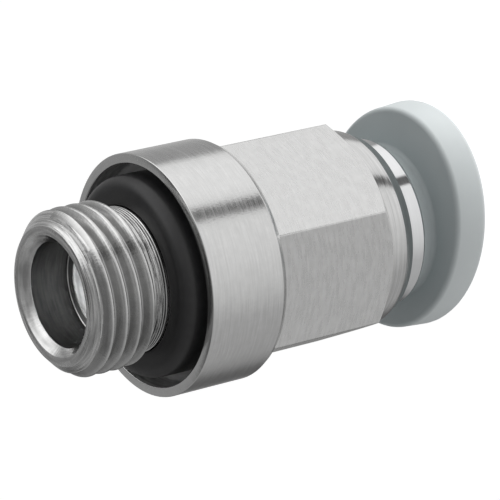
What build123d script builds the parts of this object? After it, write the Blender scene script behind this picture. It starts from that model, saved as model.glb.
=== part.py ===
from build123d import *
import math
import os

# Straight male push-in connector with a G 1/8 thread for tube of 6 mm outside diameter.
# Millimetres. The connector stands on the flat face of its release button, at Z = 0,
# with the thread end up and the common axis of all its pieces on Z.
# Round the tube, radii are built outwards from it, so that a wider tube widens every piece.
# The mouth is built inwards from the thread, and the thread seal and its recess outwards.

# Male thread and its shank, up to the rim of the collar
thread_diameter = 9.728
thread_length = 3.64
thread_lead = 0.83
relief_depth = 0.634
relief_shoulder = 0.45
shank_length = 6.05

# Mouth and passage, from the thread end down to the tube stop
end_face_width = 0.504
mouth_bevel = 0.48
mouth_depth = 3.0
passage_step = 0.52

# Tube, its socket, and the cavity of its seal
tube_diameter = 6.0
socket_clearance = 0.05
socket_length = 3.2
seal_cavity_width = 1.5
seal_cavity_length = 2.2
tube_seal_play = 0.05
lip_bite = 0.15
lip_length = 0.55
lip_groove_width = 0.5
lip_groove_depth = 1.0

# Release button: sleeve round the tube with a snap bead and a nose, neck, and oval flange
travel = 1.0
button_stop_gap = 0.14
button_bore_clearance = 0.1
button_entry_bevel = 0.45
sleeve_wall = 0.85
neck_step = 0.52
bead_height = 0.45
bead_length = 0.35
bead_play = 0.05
nose_wall = 0.35
nose_length = 0.85
slit_count = 4
slit_width = 0.5
slit_length = 2.6
flange_thickness = 2.16
flange_overhang_long = 3.07
flange_overhang_short = 1.87
flange_draft_long = 0.18
flange_draft_short = 0.16
flange_rear_bevel = 0.32
flange_front_bevel = 0.24

# Guide ring pressed into the housing: its bore guides the neck, its lip stops the bead
running_clearance = 0.1
chamber_clearance = 0.22
guide_wall = 0.54
guide_protrusion = 1.35
guide_bevel = 0.12
guide_lip_thickness = 0.8

# Chuck with gripping fingers, and the backup ring that spaces it from the tube seal
chuck_thickness = 0.25
chuck_play = 0.1
chuck_rim_width = 0.65
finger_count = 8
finger_drop = 0.88
finger_bite = 0.1
finger_slot = 0.34
tooth_bevel = 0.14
backup_ring_length = 1.7
backup_ring_play = 0.06
backup_ring_web = 0.5
backup_ring_rim = 0.62

# Housing in the body, the turned band round its open end, and the hexagon
housing_depth = 6.95
housing_wall = 0.79
band_length = 1.74
band_bevel = 0.36
flat_step = 0.05
hexagon_sides = 6
hexagon_length = 8.35
corner_bevel_length = 0.84

# Thread seal
thread_seal_play = 0.04
thread_seal_width = 1.62
thread_seal_length = 2.5
thread_seal_bevel = 0.55

# Collar, with the recess in its face that holds the thread seal
recess_play = 0.64
recess_depth = 1.5
rim_width = 0.57
collar_overhang = 0.17
collar_length = 4.85
collar_bevel_length = 0.36
collar_bevel_depth = 0.2

# Radii from the tube outwards
tube_radius = tube_diameter / 2
finger_tip_radius = tube_radius - finger_bite
lip_radius = tube_radius - lip_bite
socket_radius = tube_radius + socket_clearance
seal_cavity_radius = socket_radius + seal_cavity_width
button_bore_radius = tube_radius + button_bore_clearance
nose_radius = button_bore_radius + nose_wall
sleeve_radius = button_bore_radius + sleeve_wall
neck_radius = sleeve_radius + neck_step
bead_radius = sleeve_radius + bead_height
lip_bore_radius = sleeve_radius + running_clearance
guide_bore_radius = neck_radius + running_clearance
chamber_radius = bead_radius + chamber_clearance
guide_radius = chamber_radius + guide_wall
chuck_radius = guide_radius - chuck_play
chuck_root_radius = chuck_radius - chuck_rim_width
backup_ring_radius = guide_radius - backup_ring_play
band_radius = guide_radius + housing_wall
flat_radius = band_radius + flat_step
corner_radius = flat_radius / math.cos(math.pi / hexagon_sides)

# Radii of the thread, its relief, and the mouth inside it
thread_radius = thread_diameter / 2
relief_radius = thread_radius - relief_depth
end_face_radius = thread_radius - thread_lead
mouth_radius = end_face_radius - end_face_width - mouth_bevel
passage_radius = mouth_radius - passage_step

# Radii from the relief outwards: the collar covers both the recess and the hexagon's corners
thread_seal_bore_radius = relief_radius + thread_seal_play
thread_seal_radius = thread_seal_bore_radius + thread_seal_width
recess_radius = thread_seal_radius + recess_play
collar_radius = max(recess_radius + rim_width, corner_radius + collar_overhang)

# Heights from the button's face up to the thread end
guide_face_z = flange_thickness + travel + button_stop_gap
rear_z = guide_face_z + guide_protrusion
band_z = rear_z + band_length
collar_rear_z = band_z + hexagon_length
collar_z = collar_rear_z + collar_bevel_length
rim_z = collar_z + collar_length
recess_z = rim_z - recess_depth
end_z = rim_z + shank_length
thread_z = end_z - thread_length
mouth_z = end_z - mouth_depth
housing_z = rear_z + housing_depth
seal_cavity_z = housing_z + seal_cavity_length
tube_stop_z = seal_cavity_z + socket_length
chuck_z = housing_z - backup_ring_length
guide_inner_z = chuck_z - chuck_thickness
guide_lip_z = guide_inner_z - travel - bead_length - bead_play
lip_face_z = guide_lip_z - guide_lip_thickness
neck_end_z = lip_face_z - travel - bead_play
bead_z = guide_lip_z + bead_play
bead_end_z = bead_z + bead_length
nose_z = bead_end_z + nose_length

# Body, turned from hexagon bar: the outside first, then the flats, then the bore
with BuildPart() as body:
    with BuildSketch(Plane.XZ):
        with BuildLine():
            Polyline(
                (0, rear_z),
                (band_radius - band_bevel, rear_z),
                (band_radius, rear_z + band_bevel),
                (band_radius, band_z),
                (corner_radius, band_z + corner_bevel_length),
                (corner_radius, collar_rear_z),
                (collar_radius - collar_bevel_depth, collar_rear_z),
                (collar_radius, collar_z),
                (collar_radius, rim_z),
                (recess_radius, rim_z),
                (recess_radius, recess_z),
                (relief_radius, recess_z),
                (relief_radius, thread_z - relief_shoulder),
                (thread_radius, thread_z),
                (thread_radius, end_z - thread_lead),
                (end_face_radius, end_z),
                (0, end_z),
                close=True,
            )
        make_face()
    revolve(axis=Axis.Z)
    with BuildSketch(Plane.XY.offset(band_z)):
        Circle(collar_radius)
        RegularPolygon(flat_radius, hexagon_sides, major_radius=False, rotation=30, mode=Mode.SUBTRACT)
    extrude(amount=hexagon_length, mode=Mode.SUBTRACT)
    with BuildSketch(Plane.XZ):
        with BuildLine():
            Polyline(
                (0, rear_z),
                (guide_radius, rear_z),
                (guide_radius, housing_z),
                (seal_cavity_radius, housing_z),
                (seal_cavity_radius, seal_cavity_z),
                (socket_radius, seal_cavity_z),
                (socket_radius, tube_stop_z),
                (passage_radius, tube_stop_z),
                (passage_radius, mouth_z),
                (mouth_radius, mouth_z),
                (mouth_radius, end_z - mouth_bevel),
                (mouth_radius + mouth_bevel, end_z),
                (0, end_z),
                close=True,
            )
        make_face()
    revolve(axis=Axis.Z, mode=Mode.SUBTRACT)
body.part.label = "body"

# Thread seal: sits on the recess floor round the relief groove and stands proud of the rim
with BuildPart() as thread_seal:
    with BuildSketch(Plane.XZ):
        with Locations(((thread_seal_bore_radius + thread_seal_radius) / 2, recess_z)):
            Rectangle(
                thread_seal_radius - thread_seal_bore_radius,
                thread_seal_length,
                align=(Align.CENTER, Align.MIN),
            )
    revolve(axis=Axis.Z)
    end_edges = thread_seal.edges().filter_by(GeomType.CIRCLE).group_by(Axis.Z)[-1]
    chamfer(end_edges.sort_by(SortBy.RADIUS)[-1], length=thread_seal_bevel)
thread_seal.part.label = "thread_seal"

# Tube seal: a ring with an inward lip that points at the pressure side
tube_seal_radius = seal_cavity_radius - tube_seal_play
tube_seal_z = seal_cavity_z - tube_seal_play
lip_root_radius = socket_radius + tube_seal_play
groove_inner_radius = (lip_radius + tube_seal_radius - lip_groove_width) / 2
with BuildPart() as tube_seal:
    with BuildSketch(Plane.XZ):
        with BuildLine():
            Polyline(
                (lip_root_radius, housing_z),
                (tube_seal_radius, housing_z),
                (tube_seal_radius, tube_seal_z),
                (groove_inner_radius + lip_groove_width, tube_seal_z),
                (groove_inner_radius, tube_seal_z - lip_groove_depth),
                (groove_inner_radius - lip_groove_width / 2, tube_seal_z),
                (lip_radius, tube_seal_z),
                (lip_radius, tube_seal_z - lip_length),
                (lip_root_radius, tube_seal_z - lip_groove_depth),
                close=True,
            )
        make_face()
    revolve(axis=Axis.Z)
tube_seal.part.label = "tube_seal"

# Backup ring: closes the seal cavity, and is hollowed on the chuck's side so that fingers can bend
with BuildPart() as backup_ring:
    with BuildSketch(Plane.XZ):
        with BuildLine():
            Polyline(
                (button_bore_radius, housing_z),
                (backup_ring_radius, housing_z),
                (backup_ring_radius, chuck_z),
                (backup_ring_radius - backup_ring_rim, chuck_z),
                (button_bore_radius, housing_z - backup_ring_web),
                close=True,
            )
        make_face()
    revolve(axis=Axis.Z)
backup_ring.part.label = "backup_ring"

# Chuck: a flat rim between backup ring and guide ring, and fingers that lean towards the thread end
finger_tip_z = chuck_z + finger_drop
with BuildPart() as chuck:
    with BuildSketch(Plane.XZ):
        with BuildLine():
            Polyline(
                (chuck_radius, chuck_z),
                (chuck_radius, guide_inner_z),
                (chuck_root_radius, guide_inner_z),
                (finger_tip_radius, finger_tip_z - chuck_thickness + tooth_bevel),
                (finger_tip_radius + tooth_bevel, finger_tip_z),
                (chuck_root_radius, chuck_z),
                close=True,
            )
        make_face()
    revolve(axis=Axis.Z)
    with BuildSketch(Plane.XY.offset(guide_inner_z)):
        with PolarLocations(0, finger_count):
            Rectangle(chuck_root_radius, finger_slot, align=(Align.MIN, Align.CENTER))
    extrude(amount=finger_drop + chuck_thickness, mode=Mode.SUBTRACT)
chuck.part.label = "chuck"

# Guide ring: clamps the chuck, stops the button's bead at its lip and guides the neck
with BuildPart() as guide_ring:
    with BuildSketch(Plane.XZ):
        with BuildLine():
            Polyline(
                (chamber_radius, guide_inner_z),
                (guide_radius, guide_inner_z),
                (guide_radius, guide_face_z),
                (guide_bore_radius, guide_face_z),
                (guide_bore_radius, lip_face_z),
                (lip_bore_radius, lip_face_z),
                (lip_bore_radius, guide_lip_z),
                (chamber_radius, guide_lip_z),
                close=True,
            )
        make_face()
    revolve(axis=Axis.Z)
    face_edges = guide_ring.edges().filter_by(GeomType.CIRCLE).group_by(Axis.Z)[0]
    chamfer(face_edges, length=guide_bevel)
guide_ring.part.label = "guide_ring"

# Release button: tapered oval flange, neck, and a slit sleeve whose bead snaps behind the guide's lip
flange_long = neck_radius + flange_overhang_long
flange_short = neck_radius + flange_overhang_short
with BuildPart() as release_button:
    with BuildSketch(Plane.XY):
        Ellipse(flange_long, flange_short)
    with BuildSketch(Plane.XY.offset(flange_thickness)):
        Ellipse(flange_long - flange_draft_long, flange_short - flange_draft_short)
    loft()
    chamfer(release_button.faces().sort_by(Axis.Z)[0].edges(), length=flange_rear_bevel)
    chamfer(release_button.faces().sort_by(Axis.Z)[-1].edges(), length=flange_front_bevel)
    with BuildSketch(Plane.XZ):
        with BuildLine():
            Polyline(
                (0, flange_thickness / 2),
                (neck_radius, flange_thickness / 2),
                (neck_radius, neck_end_z),
                (sleeve_radius, neck_end_z),
                (sleeve_radius, bead_z),
                (bead_radius, bead_z),
                (bead_radius, bead_end_z),
                (nose_radius, nose_z),
                (0, nose_z),
                close=True,
            )
        make_face()
    revolve(axis=Axis.Z)
    with BuildSketch(Plane.XZ):
        with BuildLine():
            Polyline(
                (0, 0),
                (button_bore_radius + button_entry_bevel, 0),
                (button_bore_radius, button_entry_bevel),
                (button_bore_radius, nose_z),
                (0, nose_z),
                close=True,
            )
        make_face()
    revolve(axis=Axis.Z, mode=Mode.SUBTRACT)
    with BuildSketch(Plane.XY.offset(nose_z - slit_length)):
        with PolarLocations(0, slit_count, start_angle=45):
            Rectangle(bead_radius + slit_width, slit_width, align=(Align.MIN, Align.CENTER))
    extrude(amount=slit_length, mode=Mode.SUBTRACT)
release_button.part.label = "release_button"

os.makedirs("parts", exist_ok=True)
export_step(body.part, "parts/body.step")
export_step(thread_seal.part, "parts/thread_seal.step")
export_step(tube_seal.part, "parts/tube_seal.step")
export_step(backup_ring.part, "parts/backup_ring.step")
export_step(chuck.part, "parts/chuck.step")
export_step(guide_ring.part, "parts/guide_ring.step")
export_step(release_button.part, "parts/release_button.step")
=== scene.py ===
# %% [markdown]
# # A straight push-in connector
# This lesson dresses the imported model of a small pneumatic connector: a nickel-plated body
# turned from hexagon bar, a rubber ring round its thread, a polished guide ring and an oval
# release button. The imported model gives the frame, and everything that shows is modelled
# here on top of it, with Blender's own operators.

import math

import bpy
from mathutils import Matrix, Vector


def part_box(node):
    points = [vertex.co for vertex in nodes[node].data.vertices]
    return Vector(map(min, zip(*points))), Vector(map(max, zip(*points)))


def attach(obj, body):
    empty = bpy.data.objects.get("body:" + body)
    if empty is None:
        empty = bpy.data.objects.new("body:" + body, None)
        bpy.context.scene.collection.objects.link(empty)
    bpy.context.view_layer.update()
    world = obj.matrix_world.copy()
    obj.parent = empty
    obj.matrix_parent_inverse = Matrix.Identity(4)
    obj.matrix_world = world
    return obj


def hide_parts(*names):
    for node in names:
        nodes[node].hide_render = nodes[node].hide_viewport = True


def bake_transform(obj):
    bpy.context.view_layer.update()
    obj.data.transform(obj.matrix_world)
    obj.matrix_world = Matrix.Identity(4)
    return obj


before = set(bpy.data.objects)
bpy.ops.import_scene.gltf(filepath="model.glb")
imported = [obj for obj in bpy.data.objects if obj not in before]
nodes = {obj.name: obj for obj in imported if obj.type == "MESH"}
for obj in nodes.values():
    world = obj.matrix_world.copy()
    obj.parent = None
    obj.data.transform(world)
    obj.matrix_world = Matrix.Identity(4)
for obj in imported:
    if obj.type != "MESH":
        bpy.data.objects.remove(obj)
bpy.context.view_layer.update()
MM = 0.001
for node_name in sorted(nodes):
    low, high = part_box(node_name)
    width = (high.x - low.x) / MM
    print(f"{node_name}: z {low.z / MM:.2f} to {high.z / MM:.2f} mm, {width:.2f} mm wide")

# %% [markdown]
# ## The camera
# The photograph was taken with a long lens from beside the thread end, and the camera was
# turned on its side, so that the upright connector lies along the picture's diagonal. A
# camera is placed by where it stands and what it looks at, and is then rolled about its own
# line of sight. The three were worked out from the circles of the turned edges.

# %% Place the camera
camera_place = Vector((135.375, -89.275, 119.389)) * MM
camera_aim = Vector((0.021, 0.032, 12.341)) * MM
camera_roll = math.radians(-103.06)
camera_lens = 239.93
sensor_width = 36.0

camera_data = bpy.data.cameras.new("camera")
camera_data.lens = camera_lens
camera_data.sensor_width = sensor_width
camera_data.clip_start = 0.01
camera_data.clip_end = 10.0
camera = bpy.data.objects.new("camera", camera_data)
bpy.context.scene.collection.objects.link(camera)
line_of_sight = (camera_aim - camera_place).to_track_quat("-Z", "Y").to_matrix().to_4x4()
roll = Matrix.Rotation(camera_roll, 4, "Z")
camera.matrix_world = Matrix.Translation(camera_place) @ line_of_sight @ roll
bpy.context.scene.camera = camera
bpy.context.scene.view_settings.view_transform = "Standard"
print(f"camera {camera_place.length / MM:.0f} mm from the origin, lens {camera_lens} mm")

# %% [markdown]
# ## Tools of the trade
# Nearly every piece of the connector is turned, and Blender has a lathe too. A flat plane is
# merged to one point, that point is extruded along the outline of the section, corners are
# rounded by a vertex bevel, and the outline is spun about the axis. All of it is done in
# millimetres, because merging and cutting work best on numbers near one, and a finished
# piece is shrunk to metres at the end.

# %% A lathe
spin_steps = 192
weld_distance = 0.0005


def deselect_all():
    if bpy.context.object and bpy.context.object.mode != "OBJECT":
        bpy.ops.object.mode_set(mode="OBJECT")
    bpy.ops.object.select_all(action="DESELECT")


def draw_outline(name, corners, closed=False):
    """A wire in the XZ plane, through corners of (radius, height) or (radius, height, rounding)."""
    deselect_all()
    bpy.ops.mesh.primitive_plane_add(size=1)
    wire = bpy.context.object
    wire.name = name
    bpy.ops.object.mode_set(mode="EDIT")
    bpy.ops.mesh.select_mode(type="VERT")
    bpy.ops.mesh.merge(type="CENTER")
    places = [Vector((corner[0], 0, corner[1])) for corner in corners]
    bpy.ops.transform.translate(value=places[0])
    for start, end in zip(places, places[1:]):
        bpy.ops.mesh.extrude_region_move(TRANSFORM_OT_translate={"value": end - start})
    if closed:
        ends = (places[0], places[-1])
        bpy.ops.object.mode_set(mode="OBJECT")
        for vertex in wire.data.vertices:
            vertex.select = min((vertex.co - end).length for end in ends) < weld_distance
        bpy.ops.object.mode_set(mode="EDIT")
        bpy.ops.mesh.edge_face_add()
    for corner, place in zip(corners, places):
        if len(corner) > 2:
            round_corner(wire, place, corner[2])
    bpy.ops.object.mode_set(mode="OBJECT")
    return wire


def round_corner(wire, place, rounding, segments=5):
    bpy.ops.mesh.select_all(action="DESELECT")
    bpy.ops.object.mode_set(mode="OBJECT")
    for vertex in wire.data.vertices:
        vertex.select = (vertex.co - place).length < weld_distance
    bpy.ops.object.mode_set(mode="EDIT")
    turn = corner_turn(wire, place)
    bpy.ops.mesh.bevel(offset=rounding * math.tan(turn / 2), segments=segments, affect="VERTICES")


def corner_turn(wire, place):
    """How far the outline turns at a corner, in radians."""
    bpy.ops.object.mode_set(mode="OBJECT")
    mesh = wire.data
    arms = []
    for edge in mesh.edges:
        ends = [mesh.vertices[index].co for index in edge.vertices]
        for near, far in (ends, ends[::-1]):
            if (near - place).length < weld_distance:
                arms.append((far - near).normalized())
    bpy.ops.object.mode_set(mode="EDIT")
    return math.pi - arms[0].angle(arms[1])


def spin_outline(wire, steps=spin_steps):
    deselect_all()
    wire.select_set(True)
    bpy.context.view_layer.objects.active = wire
    bpy.ops.object.mode_set(mode="EDIT")
    bpy.ops.mesh.select_all(action="SELECT")
    bpy.ops.mesh.spin(steps=steps, angle=math.tau, center=(0, 0, 0), axis=(0, 0, 1))
    bpy.ops.mesh.select_all(action="SELECT")
    bpy.ops.mesh.remove_doubles(threshold=weld_distance)
    bpy.ops.mesh.normals_make_consistent(inside=False)
    bpy.ops.object.mode_set(mode="OBJECT")
    return wire


def turn_on_lathe(name, corners, closed=False, steps=spin_steps):
    return spin_outline(draw_outline(name, corners, closed), steps)


# %% [markdown]
# Cutting and joining are done by the Boolean modifier, with its exact solver. Faces that lie
# in one plane are what it finds hardest, so every tool here runs past the face that it cuts,
# and every joined piece is sunk a little into its neighbour. Points that it leaves a hair's
# breadth apart along a seam are merged, so that the skin stays closed.

# %% Cutting and joining
seam_distance = 0.0001


def apply_boolean(piece, tool, operation):
    deselect_all()
    bpy.context.view_layer.objects.active = piece
    piece.select_set(True)
    modifier = piece.modifiers.new(operation.lower(), "BOOLEAN")
    modifier.operation = operation
    modifier.solver = "EXACT"
    modifier.object = tool
    bpy.ops.object.modifier_apply(modifier=modifier.name)
    bpy.data.objects.remove(tool)
    bpy.ops.object.mode_set(mode="EDIT")
    bpy.ops.mesh.select_all(action="SELECT")
    bpy.ops.mesh.remove_doubles(threshold=seam_distance)
    bpy.ops.object.mode_set(mode="OBJECT")
    return piece


# %% [markdown]
# A finished piece is shrunk to metres and shaded smooth. Where a small bevel meets a long
# cylinder, plain smooth shading tilts the light on the whole cylinder. Weighted normals let
# the large face win, so that its reflections run straight up to the edge.

# %% Finish a piece
def finish_in_metres(piece, smooth_angle=30):
    """Shrinks a piece from millimetres to metres, and shades its round faces smooth."""
    deselect_all()
    bpy.context.view_layer.objects.active = piece
    piece.select_set(True)
    piece.scale = (MM, MM, MM)
    bpy.ops.object.transform_apply(location=True, rotation=True, scale=True)
    bpy.ops.object.shade_smooth_by_angle(angle=math.radians(smooth_angle))
    weighting = piece.modifiers.new("weighting", "WEIGHTED_NORMAL")
    weighting.keep_sharp = True
    weighting.weight = 100
    bpy.ops.object.modifier_apply(modifier=weighting.name)
    print(f"{piece.name}: {len(piece.data.polygons)} faces, {open_edges(piece)} open edges")
    return piece


def open_edges(piece):
    """Edges that don't have exactly two faces; a sound solid has none."""
    faces_at = {}
    for face in piece.data.polygons:
        for key in face.edge_keys:
            faces_at[key] = faces_at.get(key, 0) + 1
    return sum(1 for count in faces_at.values() if count != 2)


# %% [markdown]
# ## The sizes
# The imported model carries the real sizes, and those that show on the outside are read from
# its boxes. What a box doesn't tell, such as a groove or a bevel, is a named value here, in
# millimetres.

# %% Read the main sizes from the frame
body_low, body_high = (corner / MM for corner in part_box("body"))
seal_low, seal_high = (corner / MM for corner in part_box("thread_seal"))
guide_low, guide_high = (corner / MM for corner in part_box("guide_ring"))
button_low, button_high = (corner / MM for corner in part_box("release_button"))

end_z = body_high.z
rear_z = body_low.z
collar_radius = body_high.y
recess_z = seal_low.z
guide_radius = guide_high.x
print(f"body z {rear_z:.2f} to {end_z:.2f} mm, collar radius {collar_radius:.2f} mm")

# %% [markdown]
# ## The thread
# The thread is the standard Whitworth form: flanks at 55 degrees, with crests and roots
# rounded to the same radius. The Screw modifier sweeps the outline of one pitch up a helix
# and welds each turn to the next, which gives an endless threaded rod. The rod is cut to
# length by two bisections and then intersected with the plain turned shank, and so the
# chamfered start and the run-out into the relief groove come by themselves, as they do when
# a die cuts a real blank.

# %% Sweep the threaded rod
thread_radius = 4.864
thread_pitch = 0.907
thread_depth = 0.581
crest_rounding = 0.1246
flank_angle = math.radians(27.5)
crest_z = 24.16
crest_azimuth = math.radians(-53.7)
thread_steps = 144
rod_overrun = 0.5


def thread_pitch_points(arc_points=4):
    """One pitch of the section, from root to root: (radius, height) on two arcs and the flanks."""
    crest_centre = thread_radius - crest_rounding
    root_centre = thread_radius - thread_depth + crest_rounding
    sweep = math.pi / 2 - flank_angle
    points = []
    for step in range(arc_points + 1):
        turn = sweep * step / arc_points
        radius = root_centre - crest_rounding * math.cos(turn)
        points.append((radius, -thread_pitch / 2 + crest_rounding * math.sin(turn)))
    for step in range(-arc_points, arc_points + 1):
        turn = sweep * step / arc_points
        points.append((crest_centre + crest_rounding * math.cos(turn), crest_rounding * math.sin(turn)))
    for step in range(arc_points, -1, -1):
        turn = sweep * step / arc_points
        radius = root_centre - crest_rounding * math.cos(turn)
        points.append((radius, thread_pitch / 2 - crest_rounding * math.sin(turn)))
    return points


def sweep_thread(low_z, high_z):
    turns = math.ceil((high_z - low_z) / thread_pitch) + 4
    first_crest = crest_z - crest_azimuth / math.tau * thread_pitch
    below = math.ceil((first_crest - low_z) / thread_pitch) + 2
    start_z = first_crest - below * thread_pitch
    outline = [(radius, start_z + height) for radius, height in thread_pitch_points()]
    rod = draw_outline("thread", outline)
    deselect_all()
    rod.select_set(True)
    bpy.context.view_layer.objects.active = rod
    helix = rod.modifiers.new("helix", "SCREW")
    helix.axis = "Z"
    helix.screw_offset = thread_pitch
    helix.iterations = turns
    helix.steps = thread_steps
    helix.render_steps = thread_steps
    helix.use_merge_vertices = True
    helix.merge_threshold = weld_distance
    bpy.ops.object.modifier_apply(modifier=helix.name)
    for height, direction in ((low_z, -1), (high_z, 1)):
        bpy.ops.object.mode_set(mode="EDIT")
        bpy.ops.mesh.select_all(action="SELECT")
        bpy.ops.mesh.bisect(
            plane_co=(0, 0, height), plane_no=(0, 0, direction), use_fill=True, clear_outer=True
        )
        bpy.ops.object.mode_set(mode="OBJECT")
    bpy.ops.object.mode_set(mode="EDIT")
    bpy.ops.mesh.select_all(action="SELECT")
    bpy.ops.mesh.remove_doubles(threshold=weld_distance)
    bpy.ops.mesh.normals_make_consistent(inside=False)
    bpy.ops.object.mode_set(mode="OBJECT")
    print(f"thread rod: {len(rod.data.polygons)} faces, {open_edges(rod)} open edges")
    return rod


# %% [markdown]
# The blank that the thread is cut on has a start cone, a shoulder where the thread runs out,
# and a relief groove with the fine ridges that a grooving tool leaves.

# %% Turn the shank and thread it
thread_length = 3.64
relief_shoulder = 0.45
relief_radius = 4.23
thread_lead = 0.83
shank_root_z = recess_z - 1.0
thread_z = end_z - thread_length

ridge_count = 5
ridge_pitch = 0.17
ridge_height = 0.035
ridges = []
for ridge in range(ridge_count):
    ridge_z = thread_z - relief_shoulder - (ridge_count - ridge) * ridge_pitch
    ridges += [
        (relief_radius, ridge_z),
        (relief_radius + ridge_height, ridge_z + ridge_height),
        (relief_radius, ridge_z + 2 * ridge_height),
    ]
shank = turn_on_lathe("shank", [
    (0, shank_root_z),
    (relief_radius, shank_root_z),
    *ridges,
    (relief_radius, thread_z - relief_shoulder),
    (thread_radius, thread_z),
    (thread_radius, end_z - thread_lead),
    (thread_radius - thread_lead, end_z, 0.05),
    (0, end_z),
])
shank = apply_boolean(shank, sweep_thread(shank_root_z - rod_overrun, end_z + rod_overrun), "INTERSECT")
print(f"shank: {len(shank.data.polygons)} faces, {open_edges(shank)} open edges")

# %% [markdown]
# ## The hexagon
# The bar that the body is turned from is a hexagon. Behind the flats the lathe takes the
# corners down with a bevel, so the bar starts as a spun blank with that cone on it, and six
# bisections plane its sides flat. Where cone and flats meet, the rounded outlines of a real
# hexagon's end appear. The six long corners are then eased with an edge bevel.

# %% Plane the hexagon
across_flats = 12.0
hexagon_sides = 6
flat_radius = across_flats / 2
corner_radius = flat_radius / math.cos(math.pi / hexagon_sides)
band_length = 1.74
band_radius = 5.95
band_z = rear_z + band_length
hexagon_length = 8.35
collar_rear_z = band_z + hexagon_length
corner_bevel_length = 0.84
blank_allowance = 0.1
sink = 0.3
corner_ease = 0.06

cone_slope = corner_bevel_length / (corner_radius - band_radius)
hexagon = turn_on_lathe("hexagon", [
    (0, band_z - sink),
    (band_radius - sink / cone_slope, band_z - sink),
    (corner_radius + blank_allowance, band_z + corner_bevel_length + blank_allowance * cone_slope),
    (corner_radius + blank_allowance, collar_rear_z + sink),
    (0, collar_rear_z + sink),
])
bpy.ops.object.mode_set(mode="EDIT")
for side in range(hexagon_sides):
    azimuth = side * math.tau / hexagon_sides
    outwards = Vector((math.cos(azimuth), math.sin(azimuth), 0))
    bpy.ops.mesh.select_all(action="SELECT")
    bpy.ops.mesh.bisect(
        plane_co=outwards * flat_radius, plane_no=outwards, use_fill=True, clear_outer=True
    )
bpy.ops.object.mode_set(mode="OBJECT")


def ease_corners(piece, offset):
    """Bevels the long edges that stand upright at the hexagon's corners."""
    deselect_all()
    piece.select_set(True)
    bpy.context.view_layer.objects.active = piece
    bpy.ops.object.mode_set(mode="EDIT")
    bpy.ops.mesh.select_mode(type="EDGE")
    bpy.ops.mesh.select_all(action="DESELECT")
    bpy.ops.object.mode_set(mode="OBJECT")
    mesh = piece.data
    for edge in mesh.edges:
        ends = [mesh.vertices[index].co for index in edge.vertices]
        along = ends[1] - ends[0]
        edge.select = abs(along.z) > hexagon_length / 2 and along.xy.length < weld_distance
    chosen = sum(edge.select for edge in mesh.edges)
    bpy.ops.object.mode_set(mode="EDIT")
    bpy.ops.mesh.bevel(offset=offset, segments=3)
    bpy.ops.mesh.select_mode(type="VERT")
    bpy.ops.object.mode_set(mode="OBJECT")
    return chosen


print(f"hexagon: {ease_corners(hexagon, corner_ease)} corners eased, {open_edges(hexagon)} open edges")

# %% [markdown]
# ## The turned body
# Band, collar and recess are one outline. Inside the hexagon the outline runs thinner, so
# that the hexagon can be joined round it. Last of all the bore is cut, with its steps: mouth,
# passage, tube stop, socket, seal cavity and housing.

# %% Turn the body and join its lengths
collar_bevel_length = 0.36
collar_bevel_depth = 0.2
rim_z = recess_z + 1.5
recess_radius = 6.53
core_radius = 5.4
rim_slope = 0.03
edge_ease = 0.06
band_bevel_length = 0.75
band_bevel_depth = 0.36
band_swell = 1.25
band_taper = 0.02
band_waist = 0.08

body = turn_on_lathe("connector_body", [
    (0, rear_z),
    (band_radius - band_bevel_depth, rear_z, 0.08),
    (band_radius - band_taper, rear_z + band_bevel_length, 0.2),
    (band_radius, rear_z + band_swell, 3.0),
    (band_radius - band_waist, band_z + sink / 2),
    (core_radius, band_z + sink / 2),
    (core_radius, collar_rear_z),
    (collar_radius - collar_bevel_depth, collar_rear_z, 0.03),
    (collar_radius, collar_rear_z + collar_bevel_length, 0.1),
    (collar_radius, rim_z - rim_slope, edge_ease),
    (recess_radius, rim_z, edge_ease),
    (recess_radius, recess_z, 0.15),
    (0, recess_z),
])
body = apply_boolean(body, hexagon, "UNION")
print(f"with hexagon: {open_edges(body)} open edges")
body = apply_boolean(body, shank, "UNION")
print(f"with shank: {open_edges(body)} open edges")

# %% [markdown]
# The bore is turned as one solid tool, with all its steps, and is then cut away.

# %% Bore the body
guide_bevel = 0.15
mouth_radius = 3.05
mouth_bevel = 0.48
mouth_depth = 3.0
passage_radius = 2.53
socket_radius = 3.05
seal_cavity_radius = 4.55
housing_z = rear_z + 6.95
seal_cavity_z = housing_z + 2.2
tube_stop_z = seal_cavity_z + 3.2
overshoot = 0.5

bore = turn_on_lathe("bore", [
    (0, rear_z - overshoot),
    (guide_radius + guide_bevel + overshoot, rear_z - overshoot),
    (guide_radius, rear_z + guide_bevel),
    (guide_radius, housing_z),
    (seal_cavity_radius, housing_z),
    (seal_cavity_radius, seal_cavity_z),
    (socket_radius, seal_cavity_z),
    (socket_radius, tube_stop_z),
    (passage_radius, tube_stop_z),
    (passage_radius, end_z - mouth_depth, 0.05),
    (mouth_radius, end_z - mouth_depth, 0.1),
    (mouth_radius, end_z - mouth_bevel, 0.1),
    (mouth_radius + mouth_bevel + overshoot, end_z + overshoot),
    (0, end_z + overshoot),
])
body = apply_boolean(body, bore, "DIFFERENCE")
body = finish_in_metres(body)

# %% [markdown]
# ## The thread seal
# A plain rubber ring lies in the recess, round the relief groove. Its outer shoulder is well
# rounded, where the port will press on it.

# %% Turn the thread seal
seal_bore_radius = relief_radius + 0.04
thread_seal = turn_on_lathe("thread_seal_ring", [
    (seal_bore_radius, seal_low.z, 0.1),
    (seal_high.x, seal_low.z, 0.1),
    (seal_high.x, seal_high.z, 0.78),
    (seal_bore_radius, seal_high.z, 0.12),
], closed=True)
thread_seal = finish_in_metres(thread_seal, smooth_angle=60)

# %% [markdown]
# ## The guide ring
# A polished steel ring is pressed into the open end of the body. It guides the button's neck
# and holds its snap bead back with an inner lip. Outside the body it widens towards the
# button, and so it shows the studio's walls, and not the button that lies right under it.

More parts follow.
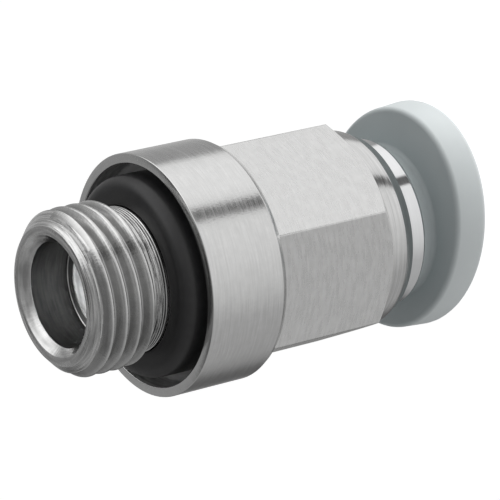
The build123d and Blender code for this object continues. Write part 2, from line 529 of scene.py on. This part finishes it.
# %% Turn the guide ring
neck_radius = 4.47
sleeve_radius = 3.95
bead_radius = 4.40
running_clearance = 0.1
guide_flare = math.radians(12.5)
guide_waist = (rear_z - guide_low.z) * math.tan(guide_flare)
guide_lip_z = guide_high.z - 1.4
lip_thickness = 0.8
pressed_length = 0.3
lip_bore_radius = sleeve_radius + running_clearance
chamber_radius = bead_radius + 0.22
guide_ring = turn_on_lathe("guide_ring_polished", [
    (chamber_radius, guide_high.z),
    (guide_radius, guide_high.z),
    (guide_radius, rear_z + pressed_length),
    (guide_radius - guide_waist, rear_z),
    (guide_radius, guide_low.z, 0.2),
    (neck_radius + running_clearance, guide_low.z, 0.14),
    (neck_radius + running_clearance, guide_lip_z - lip_thickness),
    (lip_bore_radius, guide_lip_z - lip_thickness),
    (lip_bore_radius, guide_lip_z),
    (chamber_radius, guide_lip_z),
], closed=True)
guide_ring = finish_in_metres(guide_ring)

# %% [markdown]
# ## The release button
# The button is one moulding: an oval flange with a slight draft and soft edges, and a stem
# that is turned in shape. The flange starts as a cylinder, which is stretched to the oval,
# narrowed at its front and bevelled. The stem is spun, sunk into the flange and joined, and
# then the bore and the four slits that let the sleeve snap in are cut.

# %% Mould the release button
flange_thickness = 2.16
flange_long, flange_short = 7.54, 6.34
front_long, front_short = 7.36, 6.18
flange_rear_round = 0.4
flange_front_round = 0.3

deselect_all()
bpy.ops.mesh.primitive_cylinder_add(
    vertices=spin_steps, radius=1, depth=flange_thickness, location=(0, 0, flange_thickness / 2)
)
flange = bpy.context.object
flange.name = "release_button_moulding"
bpy.ops.object.transform_apply(location=True, rotation=True, scale=True)
bpy.ops.object.mode_set(mode="EDIT")
bpy.ops.mesh.select_all(action="SELECT")
bpy.ops.transform.resize(value=(flange_long, flange_short, 1), center_override=(0, 0, 0))
bpy.ops.mesh.select_all(action="DESELECT")
bpy.ops.object.mode_set(mode="OBJECT")
for vertex in flange.data.vertices:
    vertex.select = vertex.co.z > flange_thickness / 2
bpy.ops.object.mode_set(mode="EDIT")
bpy.ops.transform.resize(
    value=(front_long / flange_long, front_short / flange_short, 1), center_override=(0, 0, 0)
)


def bevel_level_edges(piece, height, offset, segments):
    """Bevels the edges that lie level at a height."""
    bpy.ops.object.mode_set(mode="OBJECT")
    mesh = piece.data
    for vertex in mesh.vertices:
        vertex.select = False
    for face in mesh.polygons:
        face.select = False
    for edge in mesh.edges:
        ends = [mesh.vertices[index].co for index in edge.vertices]
        edge.select = all(abs(end.z - height) < weld_distance for end in ends)
    bpy.ops.object.mode_set(mode="EDIT")
    bpy.ops.mesh.select_mode(type="EDGE")
    bpy.ops.mesh.bevel(offset=offset, segments=segments)
    bpy.ops.mesh.select_mode(type="VERT")


bevel_level_edges(flange, 0, flange_rear_round, 6)
bevel_level_edges(flange, flange_thickness, flange_front_round, 6)
bpy.ops.object.mode_set(mode="OBJECT")

# %% [markdown]
# The stem has a neck that fills the guide ring, a thinner sleeve that passes through its lip,
# and a bead behind the lip, which keeps the button from falling out.

# %% Turn the stem and join it
neck_fillet = 0.3
neck_travel = 1.05
neck_end_z = guide_lip_z - lip_thickness - neck_travel
bead_play = 0.05
bead_z = guide_lip_z + bead_play
bead_length = 0.35
nose_radius = 3.45
stem_sink = 0.01
stem_root_z = flange_thickness - stem_sink
stem = turn_on_lathe("stem", [
    (0, flange_thickness / 2),
    (neck_radius + neck_fillet, flange_thickness / 2),
    (neck_radius + neck_fillet, stem_root_z),
    (neck_radius, stem_root_z, neck_fillet),
    (neck_radius, neck_end_z, 0.1),
    (sleeve_radius, neck_end_z),
    (sleeve_radius, bead_z),
    (bead_radius, bead_z, 0.08),
    (bead_radius, bead_z + bead_length, 0.1),
    (nose_radius, button_high.z, 0.08),
    (0, button_high.z),
])
flange = apply_boolean(flange, stem, "UNION")

# %% [markdown]
# The tube goes through the button. Two crossed cuts make the four slits of the sleeve.

# %% Bore and slit the button
button_bore_radius = 3.1
button_mouth_bevel = 0.45
button_bore = turn_on_lathe("button_bore", [
    (0, -overshoot),
    (button_bore_radius + button_mouth_bevel + overshoot, -overshoot),
    (button_bore_radius, button_mouth_bevel, 0.3),
    (button_bore_radius, button_high.z + overshoot),
    (0, button_high.z + overshoot),
])
flange = apply_boolean(flange, button_bore, "DIFFERENCE")
slit_width = 0.5
slit_length = 2.6
slit_azimuths = (45, 135)
for azimuth in slit_azimuths:
    deselect_all()
    bpy.ops.mesh.primitive_cube_add(
        size=1,
        location=(0, 0, button_high.z - slit_length / 2 + overshoot / 2),
        rotation=(0, 0, math.radians(azimuth)),
        scale=(3 * bead_radius, slit_width, slit_length + overshoot),
    )
    cutter = bpy.context.object
    bpy.ops.object.transform_apply(location=True, rotation=True, scale=True)
    flange = apply_boolean(flange, cutter, "DIFFERENCE")
release_button = finish_in_metres(flange, smooth_angle=40)

# %% [markdown]
# ## The chuck
# The chuck sits out of sight behind the guide ring. Its fingers give way when the button is
# pressed, which a rigid piece can't show. So a copy of the imported solid is merged into one
# skin and divided finely, as a bending piece would need.

# %% Merge and divide the chuck
merge_distance = 1e-6
finger_cuts = 3
chuck_spring = bpy.data.objects.new("chuck_spring", nodes["chuck"].data.copy())
bpy.context.scene.collection.objects.link(chuck_spring)
deselect_all()
chuck_spring.select_set(True)
bpy.context.view_layer.objects.active = chuck_spring
bpy.ops.object.mode_set(mode="EDIT")
bpy.ops.mesh.select_all(action="SELECT")
bpy.ops.mesh.remove_doubles(threshold=merge_distance)
bpy.ops.mesh.subdivide(number_cuts=finger_cuts)
bpy.ops.mesh.normals_make_consistent(inside=False)
bpy.ops.object.mode_set(mode="OBJECT")
bpy.ops.object.shade_smooth_by_angle(angle=math.radians(30))
print(f"chuck: {len(chuck_spring.data.polygons)} faces, {open_edges(chuck_spring)} open edges")

# %% [markdown]
# ## Which face has which finish
# The body is one piece of brass, but its finish changes from place to place: the collar and
# the band are turned finely, the hexagon keeps the drawn surface of the bar, the mouth of the
# bore is rougher and given a very dark tone as painted shade, the passage behind it is bright,
# and the rest shows coarse tool marks. Each face gets a material slot by its place and direction.

# %% Sort the body's faces by finish
finish_names = ("coarse", "fine", "drawn", "dull_painted_shade", "bright", "thread", "band")
touch = 0.01
beside = 0.1
threaded_lead_share = 0.3


def body_finish(centre, normal):
    radius = math.hypot(centre.x, centre.y)
    if band_z < centre.z < collar_rear_z and abs(normal.z) < touch and radius > flat_radius - touch:
        return "drawn"
    if centre.z > collar_rear_z - 2 * touch and radius > recess_radius + touch:
        return "fine"
    if recess_z - touch < centre.z < rim_z and radius > relief_radius + beside:
        return "bright"
    if rear_z - touch < centre.z < band_z + sink and radius > guide_radius + 2 * beside:
        return "band"
    # The mouth's faces get a rougher finish whose very dark tone is painted shade.
    if radius < mouth_radius + 2 * touch and abs(normal.z) < 2 * beside:
        return "dull_painted_shade" if centre.z > end_z - mouth_depth else "bright"
    threaded_end_z = end_z - thread_lead * (1 - threaded_lead_share)
    if thread_z - relief_shoulder < centre.z < threaded_end_z and radius > relief_radius:
        return "thread"
    return "coarse"


finishes = []
for face in body.data.polygons:
    finishes.append(body_finish(face.center / MM, face.normal))
print("faces by finish:", {name: finishes.count(name) for name in finish_names})

# %% [markdown]
# ## Shared effects
# An effect that several materials share is a node group, built once and given other numbers
# in each. These helpers put a node into a tree, make a group with named sockets, and build
# the small chains of nodes that come back in the groups.

# %% Helpers for node groups
def put(tree, kind, **settings):
    node = tree.nodes.new(kind)
    for key, value in settings.items():
        setattr(node, key, value)
    return node


def new_group(name, inputs, outputs):
    group = bpy.data.node_groups.new(name, "ShaderNodeTree")
    for socket_name, default in inputs:
        socket = group.interface.new_socket(socket_name, in_out="INPUT", socket_type="NodeSocketFloat")
        socket.default_value = default
    for socket_name in outputs:
        group.interface.new_socket(socket_name, in_out="OUTPUT", socket_type="NodeSocketFloat")
    return group, put(group, "NodeGroupInput"), put(group, "NodeGroupOutput")


def noise_value(group, vector, scale, detail, low, high):
    """A noise, stretched so that low and high become 0 and 1."""
    noise = put(group, "ShaderNodeTexNoise")
    noise.inputs["Scale"].default_value = scale
    noise.inputs["Detail"].default_value = detail
    stretch = put(group, "ShaderNodeMapRange")
    stretch.inputs["From Min"].default_value = low
    stretch.inputs["From Max"].default_value = high
    group.links.new(vector, noise.inputs["Vector"])
    group.links.new(noise.outputs["Fac"], stretch.inputs["Value"])
    return stretch.outputs["Result"]


def maths(group, operation, first, second):
    node = put(group, "ShaderNodeMath", operation=operation)
    for socket, value in zip(node.inputs, (first, second)):
        if isinstance(value, (int, float)):
            socket.default_value = value
        else:
            group.links.new(value, socket)
    return node.outputs[0]


# %% [markdown]
# Turning marks are rings round the axis: a noise that changes quickly along the axis and
# slowly round it. Chatter is the same with many more spokes, as a trembling tool leaves it.

# %% The group for turning marks
ring_slant = -0.6
chatter_spokes = 12.0
chatter_rings = 0.5


def ring_vector(group, place, rings_per_mm, spokes):
    """Round direction times spokes, and rings along the axis: the vector for marks of turning."""
    parts = put(group, "ShaderNodeSeparateXYZ")
    flat = put(group, "ShaderNodeCombineXYZ")
    length = put(group, "ShaderNodeVectorMath", operation="LENGTH")
    unit = put(group, "ShaderNodeVectorMath", operation="NORMALIZE")
    spread = put(group, "ShaderNodeVectorMath", operation="SCALE")
    level = put(group, "ShaderNodeCombineXYZ")
    total = put(group, "ShaderNodeVectorMath", operation="ADD")
    group.links.new(place, parts.inputs[0])
    for axis in ("X", "Y"):
        group.links.new(parts.outputs[axis], flat.inputs[axis])
    group.links.new(flat.outputs[0], length.inputs[0])
    group.links.new(flat.outputs[0], unit.inputs[0])
    group.links.new(unit.outputs[0], spread.inputs[0])
    group.links.new(spokes, spread.inputs["Scale"])
    slant = maths(group, "MULTIPLY", length.outputs["Value"], ring_slant)
    height = maths(group, "ADD", parts.outputs["Z"], slant)
    rings = maths(group, "MULTIPLY", maths(group, "MULTIPLY", height, rings_per_mm), 1 / MM)
    group.links.new(rings, level.inputs["Z"])
    group.links.new(spread.outputs[0], total.inputs[0])
    group.links.new(level.outputs[0], total.inputs[1])
    return total.outputs[0]


marks_group, marks_in, marks_out = new_group(
    "turning_marks", (("Rings per mm", 8.0), ("Spokes", 2.0)), ("Marks", "Chatter")
)
place = put(marks_group, "ShaderNodeTexCoord").outputs["Object"]
rings = ring_vector(marks_group, place, marks_in.outputs["Rings per mm"], marks_in.outputs["Spokes"])
marks = noise_value(marks_group, rings, 1.0, 2.0, 0.32, 0.68)
marks_group.links.new(marks, marks_out.inputs["Marks"])
many_spokes = maths(marks_group, "MULTIPLY", marks_in.outputs["Spokes"], chatter_spokes)
wide_rings = maths(marks_group, "MULTIPLY", marks_in.outputs["Rings per mm"], chatter_rings)
short_rings = ring_vector(marks_group, place, wide_rings, many_spokes)
chatter = noise_value(marks_group, short_rings, 1.0, 1.0, 0.3, 0.7)
marks_group.links.new(chatter, marks_out.inputs["Chatter"])

# %% [markdown]
# Mottling is a soft cloudiness, as on plated metal and moulded plastic. Grain is a fine, even
# roughness. The groove shade tells how far a point stands out from the axis, from a thread's
# root to its crest, so that the grooves get painted shade and the crests keep their full tone.

# %% The groups for mottling, grain and painted groove shade
def simple_noise_group(name, output_name, size_mm, detail, low, high):
    group, group_in, group_out = new_group(name, (("Size mm", size_mm),), (output_name,))
    place = put(group, "ShaderNodeTexCoord").outputs["Object"]
    share = maths(group, "DIVIDE", 1 / MM, group_in.outputs["Size mm"])
    scaled = put(group, "ShaderNodeVectorMath", operation="SCALE")
    group.links.new(place, scaled.inputs[0])
    group.links.new(share, scaled.inputs["Scale"])
    value = noise_value(group, scaled.outputs[0], 1.0, detail, low, high)
    group.links.new(value, group_out.inputs[output_name])
    return group


groove_shade_group, crest_in, crest_out = new_group(
    "groove_painted_shade", (("Low mm", 4.3), ("High mm", 4.86)), ("Crest",)
)
crest_place = put(groove_shade_group, "ShaderNodeTexCoord")
crest_flat = put(groove_shade_group, "ShaderNodeVectorMath", operation="MULTIPLY")
crest_flat.inputs[1].default_value = (1 / MM, 1 / MM, 0)
crest_radius = put(groove_shade_group, "ShaderNodeVectorMath", operation="LENGTH")
crest_range = put(groove_shade_group, "ShaderNodeMapRange")
groove_shade_group.links.new(crest_place.outputs["Object"], crest_flat.inputs[0])
groove_shade_group.links.new(crest_flat.outputs[0], crest_radius.inputs[0])
groove_shade_group.links.new(crest_radius.outputs["Value"], crest_range.inputs["Value"])
groove_shade_group.links.new(crest_in.outputs["Low mm"], crest_range.inputs["From Min"])
groove_shade_group.links.new(crest_in.outputs["High mm"], crest_range.inputs["From Max"])
groove_shade_group.links.new(crest_range.outputs["Result"], crest_out.inputs["Crest"])

mottling_group = simple_noise_group("mottling", "Clouds", 0.6, 3.0, 0.3, 0.7)
grain_group = simple_noise_group("grain", "Grain", 0.08, 2.0, 0.25, 0.75)
print("node groups:", ", ".join(group.name for group in bpy.data.node_groups))

# %% [markdown]
# ## The metals
# A metal has no colour of its own beside its reflection, so its finish is told by how rough
# it is, how its reflections break up on tool marks, and slight changes in its tone. One
# recipe serves every metal finish, each with its own numbers.

# %% Helpers for materials
def use_group(tree, group, **values):
    node = put(tree, "ShaderNodeGroup", node_tree=group)
    for key, value in values.items():
        node.inputs[key.replace("_", " ")].default_value = value
    return node


def blend_colors(tree, factor, first, second):
    mix = put(tree, "ShaderNodeMix", data_type="RGBA")
    tree.links.new(factor, mix.inputs["Factor"])
    for socket_name, value in (("A", first), ("B", second)):
        if isinstance(value, tuple):
            mix.inputs[socket_name].default_value = (*value, 1)
        else:
            tree.links.new(value, mix.inputs[socket_name])
    return mix.outputs["Result"]


def spread_value(tree, value, low, high):
    node = put(tree, "ShaderNodeMapRange")
    node.inputs["To Min"].default_value = low
    node.inputs["To Max"].default_value = high
    tree.links.new(value, node.inputs["Value"])
    return node.outputs["Result"]


def raise_surface(tree, shader, heights):
    """Chains bumps of (value, height in mm) into the shader's normal."""
    normal = None
    for value, height_mm in heights:
        bump = put(tree, "ShaderNodeBump")
        bump.inputs["Distance"].default_value = height_mm * MM
        tree.links.new(value, bump.inputs["Height"])
        if normal:
            tree.links.new(normal, bump.inputs["Normal"])
        normal = bump.outputs["Normal"]
    tree.links.new(normal, shader.inputs["Normal"])


def new_material(name):
    material = bpy.data.materials.new(name)
    material.use_nodes = True
    return material, material.node_tree, material.node_tree.nodes["Principled BSDF"]


# %% The recipe for a metal
def metal(
    name, tone, depth, rough, rings_per_mm, spokes, marks_mm, chatter_mm, clouds=0.06, crests=None
):
    """tone is linear, depth how much darker the marks are, and rough from smoothest to roughest.
    crests are the root's and crest's radius in mm, and the share of tone left in the grooves, which is
    painted shade."""
    material, tree, shader = new_material(name)
    marks = use_group(tree, marks_group, Rings_per_mm=rings_per_mm, Spokes=spokes)
    cloud = use_group(tree, mottling_group, Size_mm=0.5)
    dark = tuple(channel * (1 - depth) for channel in tone)
    color = blend_colors(tree, marks.outputs["Marks"], dark, tone)
    shade = tuple(channel * (1 - depth - clouds) for channel in tone)
    factor = spread_value(tree, cloud.outputs["Clouds"], 0.0, min(1.0, clouds / (depth + clouds)))
    surface = blend_colors(tree, factor, color, shade)
    # Painted shade: the base colour is darkened towards the thread's roots.
    if crests:
        crest = use_group(tree, groove_shade_group, Low_mm=crests[0], High_mm=crests[1])
        groove = put(tree, "ShaderNodeMix", data_type="RGBA", blend_type="MULTIPLY")
        groove.inputs["Factor"].default_value = 1.0
        tree.links.new(surface, groove.inputs["A"])
        painted_groove_shade = blend_colors(tree, crest.outputs["Crest"], (crests[2],) * 3, (1.0, 1.0, 1.0))
        tree.links.new(painted_groove_shade, groove.inputs["B"])
        surface = groove.outputs["Result"]
    tree.links.new(surface, shader.inputs["Base Color"])
    tree.links.new(spread_value(tree, marks.outputs["Marks"], *rough), shader.inputs["Roughness"])
    shader.inputs["Metallic"].default_value = 1.0
    raise_surface(tree, shader, (
        (marks.outputs["Marks"], marks_mm),
        (marks.outputs["Chatter"], chatter_mm),
    ))
    return material


# %% [markdown]
# The body needs seven finishes. The polished ring and the chuck's spring steel are two more.

# %% Mix the metals
body_metals = {
    "coarse": metal(
        "nickel_coarse_turned", tone=(0.82, 0.82, 0.815), depth=0.52, rough=(0.13, 0.30),
        rings_per_mm=7.0, spokes=1.5, marks_mm=0.016, chatter_mm=0.004,
    ),
    "fine": metal(
        "nickel_fine_turned", tone=(0.75, 0.75, 0.745), depth=0.10, rough=(0.14, 0.22),
        rings_per_mm=10.0, spokes=4.0, marks_mm=0.0012, chatter_mm=0.0010,
    ),
    "drawn": metal(
        "nickel_drawn_bar", tone=(0.75, 0.75, 0.745), depth=0.12, rough=(0.24, 0.34),
        rings_per_mm=5.0, spokes=6.0, marks_mm=0.0015, chatter_mm=0.0012, clouds=0.08,
    ),
    # The bore's mouth: rougher, and its very dark tone of 0.15 is painted shade inside the bore.
    "dull_painted_shade": metal(
        "nickel_dull_bore_painted_shade", tone=(0.15, 0.15, 0.15), depth=0.35, rough=(0.35, 0.5),
        rings_per_mm=6.0, spokes=2.0, marks_mm=0.003, chatter_mm=0.001,
    ),
    "bright": metal(
        "nickel_bright_passage", tone=(0.85, 0.85, 0.85), depth=0.35, rough=(0.58, 0.72),
        rings_per_mm=5.0, spokes=2.0, marks_mm=0.006, chatter_mm=0.001,
    ),
    "thread": metal(
        "nickel_thread", tone=(0.74, 0.74, 0.735), depth=0.14, rough=(0.14, 0.28),
        rings_per_mm=7.0, spokes=3.0, marks_mm=0.003, chatter_mm=0.003, clouds=0.14,
        # The grooves keep 0.62 of the tone: painted shade in the thread's roots.
        crests=(thread_radius - 0.25, thread_radius - 0.02, 0.62),
    ),
    "band": metal(
        "nickel_band_turned", tone=(0.76, 0.76, 0.755), depth=0.22, rough=(0.10, 0.18),
        rings_per_mm=9.0, spokes=1.5, marks_mm=0.005, chatter_mm=0.0008,
    ),
}
steel = metal(
    "steel_polished", tone=(0.86, 0.865, 0.87), depth=0.04, rough=(0.05, 0.10),
    rings_per_mm=8.0, spokes=3.0, marks_mm=0.0005, chatter_mm=0.0003, clouds=0.02,
)
spring_steel = metal(
    "steel_spring", tone=(0.66, 0.66, 0.67), depth=0.12, rough=(0.22, 0.34),
    rings_per_mm=6.0, spokes=3.0, marks_mm=0.002, chatter_mm=0.001,
)

# %% [markdown]
# ## Rubber and plastics
# Both are moulded. Rubber is nearly black, with a soft sheen broken by fine grain. The
# acetal of the button is a pale cool grey with faint clouds, and a satin surface.

# %% Mix the rubber and the plastics
def moulded(name, color, other, rough, grain_mm, cloud_mm):
    material, tree, shader = new_material(name)
    cloud = use_group(tree, mottling_group, Size_mm=cloud_mm)
    grain = use_group(tree, grain_group)
    tone = blend_colors(tree, cloud.outputs["Clouds"], color, other)
    tree.links.new(tone, shader.inputs["Base Color"])
    tree.links.new(spread_value(tree, grain.outputs["Grain"], *rough), shader.inputs["Roughness"])
    heights = ((grain.outputs["Grain"], grain_mm), (cloud.outputs["Clouds"], grain_mm))
    raise_surface(tree, shader, heights)
    return material


rubber = moulded(
    "rubber_black", color=(0.018, 0.018, 0.019), other=(0.024, 0.024, 0.025), rough=(0.34, 0.46),
    grain_mm=0.0008, cloud_mm=0.5,
)
grey_plastic = moulded(
    "acetal_grey", color=(0.57, 0.63, 0.64), other=(0.585, 0.645, 0.655), rough=(0.36, 0.46),
    grain_mm=0.0008, cloud_mm=1.2,
)
white_plastic = moulded(
    "acetal_white", color=(0.80, 0.80, 0.77), other=(0.83, 0.83, 0.80), rough=(0.36, 0.46),
    grain_mm=0.0008, cloud_mm=1.2,
)

# %% [markdown]
# ## Putting it together
# Each piece rides on the body that carries it, and stands for the plain solid of the frame.

# %% Attach the pieces
body_slots = [body_metals[name] for name in finish_names]
for piece, materials, body_name, node_name, slot_name in (
    (body, body_slots, "fitting", "body", "nickel_plated_brass"),
    (thread_seal, (rubber,), "fitting", "thread_seal", "seal_rubber"),
    (guide_ring, (steel,), "fitting", "guide_ring", "polished_steel"),
    (release_button, (grey_plastic,), "button", "release_button", "grey_acetal"),
):
    piece.data.materials.clear()
    for material in materials:
        piece.data.materials.append(material)
    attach(piece, body_name)
    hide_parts(node_name)
for face, finish in zip(body.data.polygons, finishes):
    face.material_index = finish_names.index(finish)
chuck_spring.data.materials.clear()
chuck_spring.data.materials.append(spring_steel)
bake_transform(chuck_spring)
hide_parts("chuck")
for node_name, material in (("tube_seal", rubber), ("backup_ring", white_plastic)):
    nodes[node_name].data.materials.clear()
    nodes[node_name].data.materials.append(material)

# %% [markdown]
# ## The studio
# Metal shows what stands round it. A photographer sets small metal things in a white tent
# and hangs grey cards in it, which give them their dark stripes. The world is plain white to
# the camera and to reflections, and the tent is a large ball whose wall is painted by
# direction: bright cloth on one side, one narrow dark gap, and grey cards behind. Only
# reflections see the tent.

# %% Helpers for painting by direction
def direction_ramp(tree, share, tones):
    """Grey tones by azimuth in degrees."""
    ramp = put(tree, "ShaderNodeValToRGB")
    ramp.color_ramp.elements.remove(ramp.color_ramp.elements[-1])
    for index, (angle, tone) in enumerate(tones):
        position = (angle + 180) / 360
        if index == 0:
            element = ramp.color_ramp.elements[0]
            element.position = position
        else:
            element = ramp.color_ramp.elements.new(position)
        element.color = (tone, tone, tone, 1)
    tree.links.new(share, ramp.inputs["Fac"])
    return ramp.outputs["Color"]


def step_between(tree, value, low, high):
    node = put(tree, "ShaderNodeMapRange", interpolation_type="SMOOTHSTEP")
    node.inputs["From Min"].default_value = low
    node.inputs["From Max"].default_value = high
    tree.links.new(value, node.inputs["Value"])
    return node.outputs["Result"]


# %% [markdown]
# The wall has three rows of cloth, one above the other, and a roof. Each row is a list of
# tones round the compass. The narrow dark gap in the low row, near 10 degrees, gives collar,
# band and ring their dark streak, and the darker cards from 82 degrees on shade their limbs.

# %% Choose the tones of the tent
low_walls = (
    (-180, 0.11), (-168, 0.13), (-153, 0.29), (-140, 0.38), (-95, 0.44), (-70, 0.64),
    (-40, 0.78), (-15, 0.86), (2, 0.88), (5, 0.14), (14, 0.12), (18, 0.92), (30, 1.0),
    (60, 1.0), (76, 0.94), (82, 0.34), (110, 0.38), (132, 0.50), (147, 0.42), (158, 0.30),
    (168, 0.13), (180, 0.11),
)
high_walls = (
    (-180, 0.34), (-150, 0.32), (-90, 0.38), (-33, 0.50), (0, 0.65), (30, 1.15), (80, 1.40), (98, 0.50),
    (118, 0.33), (165, 0.32), (180, 0.33),
)
top_walls = (
    (-180, 0.10), (-150, 0.22), (-90, 0.32), (-33, 0.44), (0, 0.65), (30, 1.45), (70, 1.60), (98, 0.30),
    (118, 0.06), (165, 0.06), (180, 0.10),
)
roof_tone = (0.24, 0.24, 0.24)
high_row_starts = (-0.1, 0.35)
top_row_starts = (0.58, 0.68)
roof_starts = (0.86, 0.97)
tent_radius = 1.5
print(f"tent: {len(low_walls)}, {len(high_walls)} and {len(top_walls)} tones in its rows")

# %% Hang the tent
deselect_all()
bpy.ops.mesh.primitive_uv_sphere_add(segments=48, ring_count=24, radius=tent_radius)
tent = bpy.context.object
tent.name = "tent"
tent_material, tent_tree, unused_shader = new_material("tent_cloth")
tent_tree.nodes.clear()
tent_place = put(tent_tree, "ShaderNodeTexCoord")
tent_unit = put(tent_tree, "ShaderNodeVectorMath", operation="NORMALIZE")
tent_parts = put(tent_tree, "ShaderNodeSeparateXYZ")
tent_tree.links.new(tent_place.outputs["Object"], tent_unit.inputs[0])
tent_tree.links.new(tent_unit.outputs[0], tent_parts.inputs[0])
azimuth = maths(tent_tree, "ARCTAN2", tent_parts.outputs["Y"], tent_parts.outputs["X"])
azimuth_share = maths(tent_tree, "ADD", maths(tent_tree, "DIVIDE", azimuth, math.tau), 0.5)
low_tone = direction_ramp(tent_tree, azimuth_share, low_walls)
high_tone = direction_ramp(tent_tree, azimuth_share, high_walls)
top_tone = direction_ramp(tent_tree, azimuth_share, top_walls)
upwards = step_between(tent_tree, tent_parts.outputs["Z"], *high_row_starts)
topwards = step_between(tent_tree, tent_parts.outputs["Z"], *top_row_starts)
roofwards = step_between(tent_tree, tent_parts.outputs["Z"], *roof_starts)
wall_tone = blend_colors(tent_tree, upwards, low_tone, high_tone)
wall_tone = blend_colors(tent_tree, topwards, wall_tone, top_tone)
tent_tone = blend_colors(tent_tree, roofwards, wall_tone, roof_tone)
tent_glow = put(tent_tree, "ShaderNodeEmission")
tent_output = put(tent_tree, "ShaderNodeOutputMaterial")
tent_tree.links.new(tent_tone, tent_glow.inputs["Color"])
tent_tree.links.new(tent_glow.outputs[0], tent_output.inputs["Surface"])
tent_material.cycles.emission_sampling = "NONE"
tent.data.materials.append(tent_material)
tent.visible_camera = False
tent.visible_diffuse = False
tent.visible_transmission = False
tent.visible_shadow = False

# %% [markdown]
# Rubber and plastic take their light from the world instead. It is bright from below, as from
# a white table, and grey from above, a little brighter on one side.

# %% Light the world
light_below = (0.98, 0.94, 0.93)
light_above_near = (0.12, 0.125, 0.128)
light_above_far = (0.42, 0.42, 0.42)
far_side_tilt = 0.35
world = bpy.data.worlds.new("studio")
bpy.context.scene.world = world
world.use_nodes = True
world_tree = world.node_tree
world_tree.nodes.clear()
sky_place = put(world_tree, "ShaderNodeTexCoord")
sky_parts = put(world_tree, "ShaderNodeSeparateXYZ")
world_tree.links.new(sky_place.outputs["Generated"], sky_parts.inputs[0])
sky_share = step_between(world_tree, sky_parts.outputs["Z"], -0.3, 0.5)
sideways = maths(world_tree, "MULTIPLY", sky_parts.outputs["X"], far_side_tilt)
sideways = maths(world_tree, "ADD", sky_parts.outputs["Y"], sideways)
side_share = step_between(world_tree, sideways, -0.8, 0.8)
upper_tone = blend_colors(world_tree, side_share, light_above_near, light_above_far)
sky_tone = blend_colors(world_tree, sky_share, light_below, upper_tone)
ray = put(world_tree, "ShaderNodeLightPath")
seen = maths(world_tree, "MAXIMUM", ray.outputs["Is Camera Ray"], ray.outputs["Is Glossy Ray"])
seen = maths(world_tree, "MAXIMUM", seen, ray.outputs["Is Transmission Ray"])
background = put(world_tree, "ShaderNodeBackground")
world_output = put(world_tree, "ShaderNodeOutputWorld")
world_tone = blend_colors(world_tree, seen, sky_tone, (1.0, 1.0, 1.0))
world_tree.links.new(world_tone, background.inputs["Color"])
world_tree.links.new(background.outputs[0], world_output.inputs["Surface"])

# %% [markdown]
# The floor is pale paper under the button. It glows nearly white by itself, so that it meets
# the white ground without an edge, and its paper still takes the connector's shadow.

# %% Lay the floor
floor_size = 2.0
paper_tone = 0.3
paper_glow = 0.93
deselect_all()
bpy.ops.mesh.primitive_plane_add(size=floor_size, location=(0, 0, 0))
floor = bpy.context.object
floor.name = "floor"
floor_material, floor_tree, unused_shader = new_material("floor_pale")
floor_tree.nodes.clear()
paper = put(floor_tree, "ShaderNodeBsdfDiffuse")
paper.inputs["Color"].default_value = (paper_tone, paper_tone, paper_tone, 1)
glow = put(floor_tree, "ShaderNodeEmission")
glow.inputs["Strength"].default_value = paper_glow
both = put(floor_tree, "ShaderNodeAddShader")
floor_output = put(floor_tree, "ShaderNodeOutputMaterial")
floor_tree.links.new(paper.outputs[0], both.inputs[0])
floor_tree.links.new(glow.outputs[0], both.inputs[1])
floor_tree.links.new(both.outputs[0], floor_output.inputs["Surface"])
floor.data.materials.append(floor_material)
floor.visible_diffuse = False
floor.visible_glossy = False
floor.visible_transmission = False
floor.visible_shadow = False

# %% [markdown]
# A large soft lamp lights the button from its far side. A tiny one inside the bore makes the
# passage shine, as daylight does that falls through an open connector. It is so small that
# the passage keeps its light off the mouth in front, whose dark tone is painted shade.

# %% Set the lamps
def area_lamp(name, place, aim, size, energy, color=(1, 1, 1), on_metal=False):
    data = bpy.data.lights.new(name, "AREA")
    data.color = color
    data.shape = "DISK"
    data.size = size
    data.energy = energy
    lamp = bpy.data.objects.new(name, data)
    bpy.context.scene.collection.objects.link(lamp)
    lamp.visible_camera = False
    lamp.visible_glossy = on_metal
    turn = (aim - place).to_track_quat("-Z", "Y").to_matrix().to_4x4()
    lamp.matrix_world = Matrix.Translation(place) @ turn
    return lamp


area_lamp(
    "soft_lamp", place=Vector((0.24, 0.19, -0.15)), aim=Vector((0, 0, 0.012)),
    size=0.32, energy=1.0, color=(1.0, 0.96, 0.95),
)
area_lamp(
    "bore_lamp", place=Vector((0, 0, 0.006)), aim=Vector((0, 0, 0.020)),
    size=0.0005, energy=0.0035, on_metal=True,
)
print("lamps:", ", ".join(light.name for light in bpy.data.lights))
